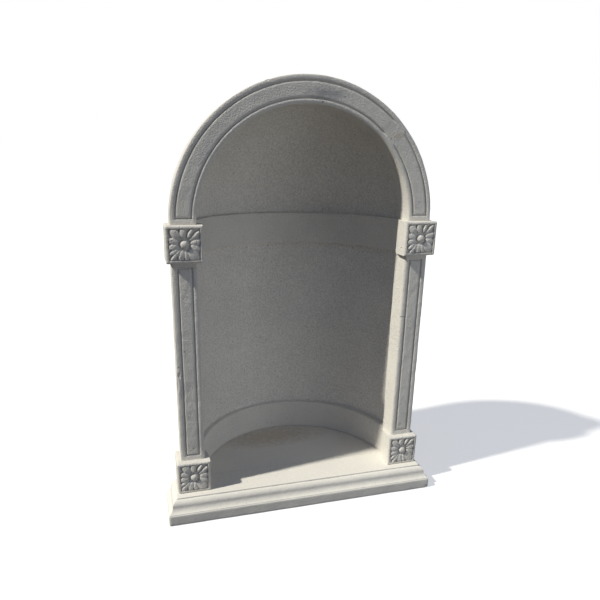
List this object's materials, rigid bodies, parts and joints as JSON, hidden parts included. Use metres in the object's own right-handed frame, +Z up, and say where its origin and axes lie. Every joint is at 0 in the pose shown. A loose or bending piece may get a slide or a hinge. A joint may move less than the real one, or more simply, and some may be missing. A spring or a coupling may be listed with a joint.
{
  "type": "stone statue niche",
  "caption": "White cast-stone statue niche: a grooved arch on pilasters with rosette blocks, before a half-round apse and half dome, on a moulded plinth.",
  "frame": {"origin": "on the underside of the plinth, on the centre line, in the plane of the pilaster fronts", "axes": "+Z up, -Y towards the front of the niche, +X to the right seen from the front"},
  "size_m": [0.606, 0.3165, 0.894],
  "materials": {
    "smooth_cast_stone": "smooth off-white cast stone, pitted, with worn arrises",
    "orange_peel_stone": "off-white cast stone with a fine orange-peel skin and small air pits",
    "plinth_stone": "smooth off-white cast stone, slightly weathered"
  },
  "bodies": {
    "root": {"arch_crown": "smooth_cast_stone", "arch_left_haunch": "smooth_cast_stone", "arch_left_shoulder": "smooth_cast_stone", "arch_right_haunch": "smooth_cast_stone", "arch_right_shoulder": "smooth_cast_stone", "base_block_left": "smooth_cast_stone", "base_block_right": "smooth_cast_stone", "base_rosette_left": "smooth_cast_stone", "base_rosette_right": "smooth_cast_stone", "drum_wall_1": "orange_peel_stone", "drum_wall_2": "orange_peel_stone", "drum_wall_3": "orange_peel_stone", "drum_wall_4": "orange_peel_stone", "drum_wall_5": "orange_peel_stone", "floor_slab": "plinth_stone", "half_dome_crown": "orange_peel_stone", "half_dome_lower_1": "orange_peel_stone", "half_dome_lower_2": "orange_peel_stone", "half_dome_lower_3": "orange_peel_stone", "half_dome_lower_4": "orange_peel_stone", "half_dome_lower_5": "orange_peel_stone", "half_dome_upper_1": "orange_peel_stone", "half_dome_upper_2": "orange_peel_stone", "half_dome_upper_3": "orange_peel_stone", "half_dome_upper_4": "orange_peel_stone", "impost_block_left": "smooth_cast_stone", "impost_block_right": "smooth_cast_stone", "impost_rosette_left": "smooth_cast_stone", "impost_rosette_right": "smooth_cast_stone", "pilaster_left": "smooth_cast_stone", "pilaster_right": "smooth_cast_stone", "plinth_moulding_front": "plinth_stone", "plinth_moulding_left": "plinth_stone", "plinth_moulding_right": "plinth_stone", "plinth_slab": "plinth_stone", "skirting_band_1": "smooth_cast_stone", "skirting_band_2": "smooth_cast_stone", "skirting_band_3": "smooth_cast_stone", "skirting_band_4": "smooth_cast_stone", "skirting_band_5": "smooth_cast_stone", "string_band_1": "smooth_cast_stone", "string_band_2": "smooth_cast_stone", "string_band_3": "smooth_cast_stone", "string_band_4": "smooth_cast_stone", "string_band_5": "smooth_cast_stone"}
  },
  "joints": []
}
